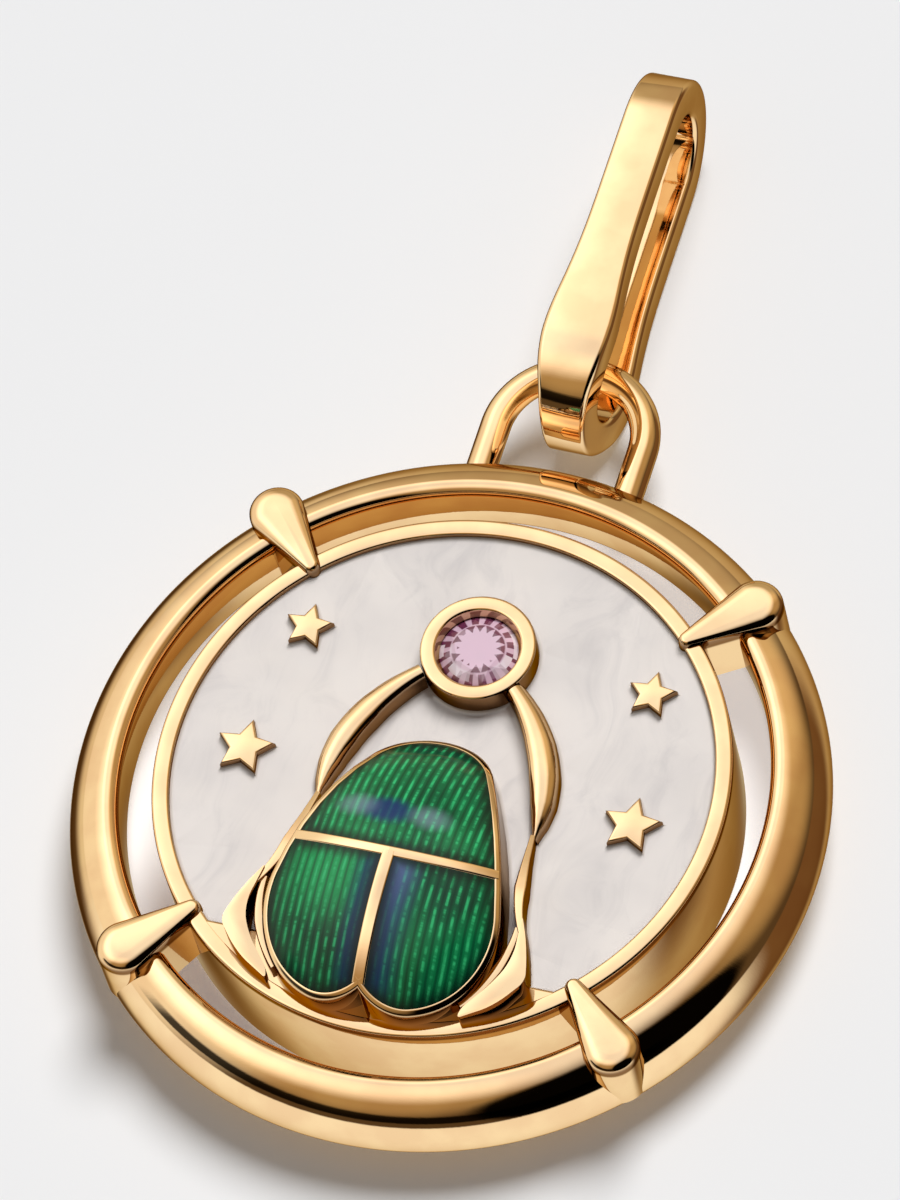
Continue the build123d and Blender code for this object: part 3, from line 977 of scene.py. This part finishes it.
class CHARM_OT_disc(PieceOperator, bpy.types.Operator):
    """Turn the inner disc with its thin rim, and lay the ground under the beetle"""

    bl_idname = "charm.disc"
    bl_label = "Inner disc"

    def build(self, context, s):
        mesh = turned([
            (0, MEDALLION_LOW.z, 0), (s.disc_radius, MEDALLION_LOW.z, 0.06),
            (s.disc_radius, s.rim_top, 0.08), (s.field_radius, s.rim_top, 0.07),
            (s.field_radius, s.floor_top, 0), (0, s.floor_top, 0),
        ])
        gold_piece(mesh, "inner_disc")

        ground = bmesh.new()
        radius = s.field_radius + s.rim_width / 2
        bmesh.ops.create_circle(ground, cap_ends=True, segments=180, radius=radius)
        cut(ground, (0, s.ground_y, 0), (0, 1, 0), clear=True)
        level = s.rim_top - 0.004
        raised(ground, s.floor_top - SUNK, level)
        chord = [e for e in top_edges(ground, level)
                 if all(abs(v.co.y - s.ground_y) < MERGE for v in e.verts)]
        round_edges(ground, chord, 0.1)
        gold_piece(ground, "ground")


class CHARM_OT_claws(PieceOperator, bpy.types.Operator):
    """Shape the four claws that bridge the gap"""

    bl_idname = "charm.claws"
    bl_label = "Claws"

    def build(self, context, s):
        mesh = bmesh.new()
        overhang = lap = 0.05
        butt = Vector((s.ring_radius + overhang - s.claw_butt / 2, 0))
        tip = Vector((s.field_radius - lap + s.claw_tip / 2, 0))
        for k in range(4):
            turn = Matrix.Rotation(math.radians(45 + 90 * k), 2)
            ends = ((turn @ butt, s.claw_butt / 2), (turn @ tip, s.claw_tip / 2))
            pillow_bar(mesh, ends, s.claw_bottom, s.claw_top, soft=0.62, drop=0.26)
        gold_piece(mesh, "claws")


class CHARM_OT_eye(PieceOperator, bpy.types.Operator):
    """Bend the wire eye at the top of the ring"""

    bl_idname = "charm.eye"
    bl_label = "Eye"

    def build(self, context, s):
        mesh = bmesh.new()
        depth = 0.5
        root = math.sqrt(s.ring_radius**2 - s.eye_radius**2) - depth
        wire = Sweep((s.eye_radius, root, s.eye_height), math.pi / 2, wire=s.eye_wire)
        run = s.eye_y - s.eye_radius - root
        wire.straight(run).arc(s.eye_radius, math.pi).straight(run).close().into(mesh)
        gold_piece(mesh, "eye")


class CHARM_OT_beetle(PieceOperator, bpy.types.Operator):
    """Raise the beetle's gold walls and fill its three cells with green enamel"""

    bl_idname = "charm.beetle"
    bl_label = "Beetle"

    def build(self, context, s):
        gold_piece(cell_walls(s), "beetle_walls")
        for side, node in ((0, "pronotum_enamel"), (-1, "left_elytron_enamel"),
                           (1, "right_elytron_enamel")):
            piece(cell_plate(s, side), node + "_fill", emerald_enamel(), "medallion",
                  "green_enamel", node, sharp=60)


class CHARM_OT_legs(PieceOperator, bpy.types.Operator):
    """Shape the raised forelegs and the ridged middle and hind legs"""

    bl_idname = "charm.legs"
    bl_label = "Legs"

    def build(self, context, s):
        gold_piece(self.forelegs(s), "forelegs")
        mesh = bmesh.new()
        for name, (_, rows) in LOW_LEGS.items():
            half = rows[0][2]
            soft = half * 0.35
            leg = low_leg(
                s, name, [(-half, 0, 0), (-half, 1, soft), (half, 1, soft), (half, 0, 0)]).close()
            stops = leg_heights(s, [(along, top) for _, along, _, top in rows])
            for vert in leg.mesh.verts:
                if vert.co.z < 0.5:
                    vert.co.z = s.floor_top
                else:
                    vert.co.z += eased(stops, -vert.co.y) - 1
            leg.into(mesh)
        leg = hind_leg_face(s)
        raised(leg, s.floor_top, s.hind_leg_top)
        round_edges(leg, top_edges(leg, s.hind_leg_top), 0.03, 3)
        stops = leg_heights(s, HIND_LEG_TOPS)
        for vert in leg.verts:
            if vert.co.z > s.field_top:
                vert.co.z += eased(stops, -vert.co.y) - s.hind_leg_top
        pour(leg, mesh)
        mirror(mesh)
        gold_piece(mesh, "hind_legs")

    def forelegs(self, s):
        """Both forelegs: ridged at the outer side, round at the inner one, low at the shoulder."""
        half = FORELEG_WIDTHS[0][1]
        rise = s.foreleg_top - s.floor_top
        ridge, outer_drop = 0.1, 0.34
        shoulder, inner_drop = 0.3, 0.2
        before_head, droop = 0.1, 0.11
        quarter = [k * math.pi / 16 for k in range(9)]
        section = [(half * (ridge - (1 + ridge) * math.cos(a)),
                    rise - outer_drop * (1 - math.sin(a)), 0) for a in quarter]
        section += [(half * (shoulder + (1 - shoulder) * math.sin(a)),
                     rise - inner_drop * (1 - math.cos(a)), 0) for a in quarter[::2]]
        foreleg = foreleg_sweep(s, [(-half, 0, 0), *section, (half, 0, 0)])
        mesh = foreleg.close().mirror().mesh
        bmesh.ops.translate(mesh, verts=mesh.verts, vec=(0, 0, s.floor_top))
        for vert in mesh.verts:
            if vert.co.z > s.field_top:
                vert.co.z -= droop * max(s.head_y + before_head - vert.co.y, 0) ** 2
        return mesh


class CHARM_OT_stars(PieceOperator, bpy.types.Operator):
    """Cut the four five-pointed stars"""

    bl_idname = "charm.stars"
    bl_label = "Stars"

    def build(self, context, s):
        mesh = bmesh.new()
        for row in STARS.values():
            star = star_face(s, row)
            raised(star, s.floor_top, s.star_top)
            round_edges(star, top_edges(star, s.star_top), 0.065, 4)
            pour(star, mesh)
        mirror(mesh)
        gold_piece(mesh, "stars")


class CHARM_OT_setting(PieceOperator, bpy.types.Operator):
    """Turn the stone's rubbed-over setting"""

    bl_idname = "charm.setting"
    bl_label = "Setting"

    def build(self, context, s):
        girdle = GEM_HIGH.z - CROWN
        lip, seat = s.gem_radius - 0.05, s.gem_radius + 0.03
        depth = s.floor_top - 0.12
        mesh = turned([
            (s.bezel_radius, s.floor_top, 0), (s.bezel_radius, s.bezel_top, 0.07),
            (seat, s.bezel_top, 0.05), (lip, girdle + 0.1, 0), (seat, girdle, 0),
            (seat, girdle - 0.05, 0), (0.2, depth, 0), (0, depth, 0),
        ], axis_y=GEM_Y)
        bmesh.ops.holes_fill(mesh, edges=mesh.edges, sides=0)
        gold_piece(mesh, "stone_setting")


class CHARM_OT_stone(PieceOperator, bpy.types.Operator):
    """Cut the round brilliant"""

    bl_idname = "charm.stone"
    bl_label = "Stone"

    def build(self, context, s):
        mesh = bmesh.new()
        radius, table = s.gem_radius, s.gem_radius * 0.58
        pavilion, culet = 0.62, 0.02
        girdle = GEM_HIGH.z - CROWN
        above, below = girdle + 0.012, girdle - 0.03
        half_step = math.radians(22.5)
        kite = (table + 0.5 * (radius - table)) / math.cos(half_step)
        lower = 0.25 * radius
        lower_drop = pavilion * (1 - lower * math.cos(half_step) / radius) * 0.93
        rings = (
            (8, table, 0, GEM_HIGH.z), (8, kite, half_step, GEM_HIGH.z - CROWN / 2),
            (16, radius, 0, above), (16, radius, 0, below),
            (8, lower, half_step, below - lower_drop), (8, culet, 0, girdle - pavilion),
        )
        for count, reach, turn, level in rings:
            place = Matrix.Translation((0, GEM_Y, level)) @ Matrix.Rotation(turn, 4, "Z")
            bmesh.ops.create_circle(mesh, segments=count, radius=reach, matrix=place)
        hull(mesh)
        bmesh.ops.dissolve_limit(mesh, angle_limit=math.radians(1.5), verts=mesh.verts,
                                 edges=mesh.edges)
        piece(mesh, "brilliant", cut_pink_stone(), "medallion", "pink_stone", "gem", flat=True)


class CHARM_OT_field(PieceOperator, bpy.types.Operator):
    """Lay the white enamel round the gold that stands in it"""

    bl_idname = "charm.field"
    bl_label = "White enamel"

    def build(self, context, s):
        lap = 0.01
        half = bmesh.new()
        bmesh.ops.create_circle(half, cap_ends=True, segments=360, radius=s.field_radius + lap)
        cut(half, (0, s.ground_y + lap, 0), (0, -1, 0), clear=True)
        cut(half, (0, 0, 0), (-1, 0, 0), clear=True)
        raised(half, s.floor_top + lap, s.field_top)
        made = as_object(half, "plate")
        for cutter in field_cutters(s):
            trim(made, cutter)
        mesh = bmesh.new()
        mesh.from_mesh(made.data)
        bpy.data.objects.remove(made)
        bmesh.ops.scale(mesh, verts=mesh.verts, vec=(1 / MM, 1 / MM, 1 / MM))
        bmesh.ops.triangulate(mesh, faces=mesh.faces, quad_method="BEAUTY", ngon_method="BEAUTY")
        merge(mesh, 1e-3)
        middle = [f for f in mesh.faces if all(abs(v.co.x) < 1e-3 for v in f.verts)]
        bmesh.ops.delete(mesh, geom=middle, context="FACES_ONLY")
        mirror(mesh, 1e-3)
        bmesh.ops.recalc_face_normals(mesh, faces=mesh.faces)
        self.climb_walls(mesh, s)
        piece(mesh, "white_enamel_field", pearl_enamel(), "medallion", "white_enamel",
              "field_enamel", sharp=50)

    def climb_walls(self, mesh, s):
        """Insets the top in narrow bands that rise towards the walls."""
        layer = mesh.verts.layers.float.new(WALLS)
        top = [f for f in mesh.faces
               if f.normal.z > 0.9 and f.calc_center_median().z > s.field_top - 0.01]
        near, reach = 0.0, 0.035
        for step in (0.02, 0.03, 0.05, None):
            rise = s.meniscus * math.exp(-near / reach) if step else 0
            for vert in {v for f in top for v in f.verts}:
                vert[layer] = near
                vert.co.z = s.field_top + rise
            if step:
                bmesh.ops.inset_region(mesh, faces=top, use_boundary=True,
                                       use_even_offset=False, thickness=step)
                near += step


class CHARM_OT_bail(PieceOperator, bpy.types.Operator):
    """Bend the long loop bail"""

    bl_idname = "charm.bail"
    bl_label = "Bail"

    def build(self, context, s):
        mesh = bmesh.new()
        low, high = BAIL_LOW, BAIL_HIGH
        depth, flare = high.z - low.z, high.x - low.x
        half, thick, soft = flare / 2, s.bail_band / 2, s.bail_round
        turn = depth / 2 - thick
        run = high.y - low.y - depth
        steps = 20
        loop = Sweep((low.y + depth / 2, low.z + thick), 0.0, [
            (-thick, -half, soft), (-thick, half, soft), (thick, half, soft), (thick, -half, soft),
        ])
        for _ in range(2):
            for _ in range(steps):
                loop.straight(run / steps)
            loop.arc(turn, math.pi)
        merge(loop.mesh)
        loop.into(mesh)
        bmesh.ops.transform(mesh, verts=mesh.verts, matrix=Matrix((
            (0, 0, 1, 0), (1, 0, 0, 0), (0, 1, 0, 0), (0, 0, 0, 1))))
        stops = (
            (0, s.bail_end), (0.06, s.bail_end * 1.2), (0.12, flare * 0.91), (0.2, flare),
            (0.27, flare * 0.97), (0.35, flare * 0.87), (0.43, s.bail_waist * 1.05),
            (0.52, s.bail_waist), (0.75, (s.bail_waist + s.bail_free) / 2), (1, s.bail_free),
        )
        for vert in mesh.verts:
            share = (vert.co.y - low.y) / (high.y - low.y)
            vert.co.x *= eased(stops, share) / flare
        gold_piece(mesh, "bail_loop", "bail")


class CHARM_OT_stage(PieceOperator, bpy.types.Operator):
    """Lay the floor and set up the studio light and the camera"""

    bl_idname = "charm.stage"
    bl_label = "Studio"

    def build(self, context, s):
        mesh = bmesh.new()
        half_width, below = 400, 0.02
        bmesh.ops.create_grid(mesh, x_segments=2, y_segments=2, size=half_width)
        bmesh.ops.translate(mesh, verts=mesh.verts, vec=(0, 0, -below))
        floor = as_object(mesh, "floor")
        floor.data.materials.append(matt_floor())
        floor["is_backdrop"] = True
        floor.visible_glossy = False
        studio_light(context.scene)
        studio_camera(context.scene)
        context.scene.view_settings.view_transform = "Standard"


def studio_light(scene):
    """A sky of soft boxes over the charm, with black flags in front and to the right."""
    world = bpy.data.worlds.new("studio")
    scene.world = world
    world.cycles_visibility.diffuse = False
    r = Recipe(world)
    look = r.vector("NORMALIZE", r.node("TexCoord", out=0))
    across, along, height = r.parts(look)

    def facing(direction, inner, outer):
        """1 within the inner angle of a direction, 0 past the outer one, in degrees."""
        toward = r.vector("DOT_PRODUCT", look, tuple(Vector(direction).normalized()), out=1)
        return r.ramp(toward, math.cos(math.radians(outer)), math.cos(math.radians(inner)))

    white, cream, warm = (1.0, 1.0, 1.0), (1.0, 0.93, 0.78), (1.0, 0.82, 0.50)
    amber, umber = (1.0, 0.68, 0.30), (0.09, 0.055, 0.025)
    boxes = (
        (white, (-0.20, 0.10, 0.97), 22, 54, 0.88),
        (cream, (-0.94, 0.08, 0.34), 24, 60, 0.86),
        (warm, (-0.12, 0.86, 0.50), 16, 48, 0.40),
        (amber, (-0.20, -0.62, 0.76), 10, 38, 0.34),
        (amber, (0.60, 0.50, 0.62), 8, 42, 0.36),
    )
    light = umber
    for tint, direction, inner, outer, strength in boxes:
        light = r.vector("ADD", light, r.scaled(tint, facing(direction, inner, outer) * strength))
    flags = 1 - facing((0.74, -0.56, 0.36), 31, 38) * 0.985
    band = r.ramp(height, 0.12, 0.17) * r.fall(height, 0.34, 0.42)
    light = r.scaled(light, flags * (1 - band * r.fall(along, -0.5, -0.35, 0.93)))

    straw, tan, ivory = (0.80, 0.70, 0.52), (0.58, 0.45, 0.25), (0.98, 0.94, 0.84)
    left = r.mix(r.ramp(height, -0.50, -0.12), (0.12, 0.07, 0.03), straw)
    below = r.mix(r.ramp(across, 0.36, 0.60), tan, (0.16, 0.08, 0.03))
    below = r.mix(r.fall(across, -0.62, -0.36), below, left)
    below = r.mix(r.fall(along, -0.22, 0.12), below, ivory)
    light = r.mix(r.ramp(height, -0.05, 0.01), below, light)
    shade = r.node("Background", None, {"Color": light, "Strength": 1.0})
    r.node("OutputWorld", None, {"Surface": shade})

    suns = (("key", (0.12, 0.50, 0.85), 3.05, 30), ("fill", (-0.15, -0.10, 0.98), 0.58, 130))
    for name, direction, energy, angle in suns:
        data = bpy.data.lights.new(name, "SUN")
        data.energy, data.angle = energy, math.radians(angle)
        lamp = bpy.data.objects.new(name, data)
        lamp.matrix_world = Vector(direction).to_track_quat("Z", "Y").to_matrix().to_4x4()
        lamp.visible_glossy = False
        scene.collection.objects.link(lamp)


def studio_camera(scene):
    """The camera at the photograph's angle, close enough to fill the frame."""
    filled, aspect = 0.90, 900 / 1200
    back = Vector((0.265, -0.436, 0.861)).normalized()
    right = Vector((-0.187, 0.853, 0.489)).cross(back).normalized()
    up = back.cross(right)
    data = bpy.data.cameras.new("camera")
    data.lens, data.sensor_width = 300, 36
    camera = bpy.data.objects.new("camera", data)
    scene.collection.objects.link(camera)
    places = [v.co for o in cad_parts.values() for v in o.data.vertices]
    sides = [p.dot(right) for p in places]
    levels = [p.dot(up) for p in places]
    tall = max(max(levels) - min(levels), (max(sides) - min(sides)) / aspect) / filled
    centre = right * (max(sides) + min(sides)) / 2 + up * (max(levels) + min(levels)) / 2
    distance = tall * data.lens / data.sensor_width
    turn = Matrix((right, up, back)).transposed().to_4x4()
    camera.matrix_world = Matrix.Translation(centre + back * distance) @ turn
    data.clip_start, data.clip_end = 0.01, 10
    scene.camera = camera


class CHARM_PT_tools(bpy.types.Panel):
    """The charm's pieces, sizes and colours"""

    bl_idname = "CHARM_PT_tools"
    bl_label = "Scarab charm"
    bl_space_type = "VIEW_3D"
    bl_region_type = "UI"
    bl_category = "Charm"

    def draw(self, context):
        pieces = self.layout.column(align=True)
        for operator in OPERATORS:
            pieces.operator(operator.bl_idname)
        for group in (context.scene.charm_sizes, context.scene.charm_colours):
            values = self.layout.column(align=True)
            for name in group.__annotations__:
                values.prop(group, name)


OPERATORS = (
    CHARM_OT_ring, CHARM_OT_disc, CHARM_OT_claws, CHARM_OT_eye, CHARM_OT_beetle, CHARM_OT_legs,
    CHARM_OT_stars, CHARM_OT_setting, CHARM_OT_stone, CHARM_OT_field, CHARM_OT_bail, CHARM_OT_stage,
)
CLASSES = (CharmSizes, CharmColours, *OPERATORS, CHARM_PT_tools)


def register():
    """Registers the classes and hangs the values on the scene."""
    for kind in CLASSES:
        bpy.utils.register_class(kind)
    bpy.types.Scene.charm_sizes = bpy.props.PointerProperty(type=CharmSizes)
    bpy.types.Scene.charm_colours = bpy.props.PointerProperty(type=CharmColours)


def unregister():
    """Takes the values and the classes away again."""
    del bpy.types.Scene.charm_colours
    del bpy.types.Scene.charm_sizes
    for kind in reversed(CLASSES):
        bpy.utils.unregister_class(kind)


def main():
    """Builds the charm and its studio, and works out both boxes."""
    register()
    for operator in OPERATORS:
        group, name = operator.bl_idname.split(".")
        getattr(getattr(bpy.ops, group), name)()
    boxes = {"cad": CAD_BOUNDS, "visual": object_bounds()}
    {name: [list(corner) for corner in pair] for name, pair in boxes.items()}


if __name__ == "__main__":
    main()
